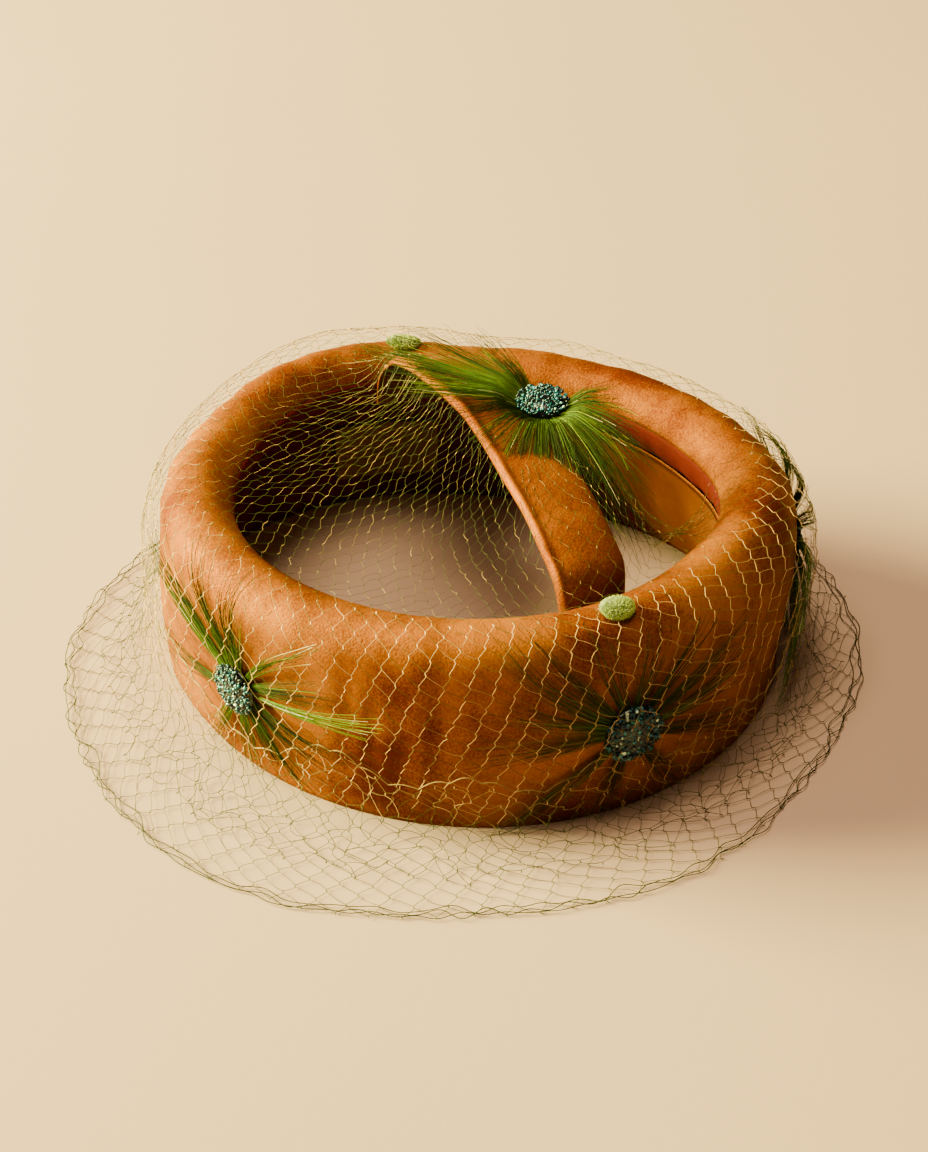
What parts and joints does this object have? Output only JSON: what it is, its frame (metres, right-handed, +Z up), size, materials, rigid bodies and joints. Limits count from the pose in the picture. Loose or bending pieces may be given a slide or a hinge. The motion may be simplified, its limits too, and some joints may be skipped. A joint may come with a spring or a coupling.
{
  "type": "cocktail hat",
  "caption": "Open ring hat of padded satin with a strap across it, a net veil spreading round its foot, feather tufts and bead buttons.",
  "frame": {"origin": "middle of the whole hat's width and depth, on the surface that it lies on", "axes": "+Z up, +Y towards the end of the opening where the label is, +X to the right of the picture"},
  "size_m": [0.2502, 0.2372, 0.0826],
  "materials": {
    "satin": "satin",
    "lining": "matt",
    "label": "woven",
    "net": "fine threads",
    "feather": "soft sheen",
    "beads": "glossy",
    "chenille": "fuzzy"
  },
  "bodies": {
    "root": {"crown_band": "satin", "lining": "lining", "label": "label", "side_facing": "satin", "strap": "satin", "veil": "net", "left_tuft": "feather", "right_tuft": "feather", "side_tuft": "feather", "strap_tuft": "feather", "left_button": "beads", "right_button": "beads", "side_button": "beads", "strap_button": "beads", "front_dot": "chenille", "rear_dot": "chenille"}
  },
  "joints": []
}
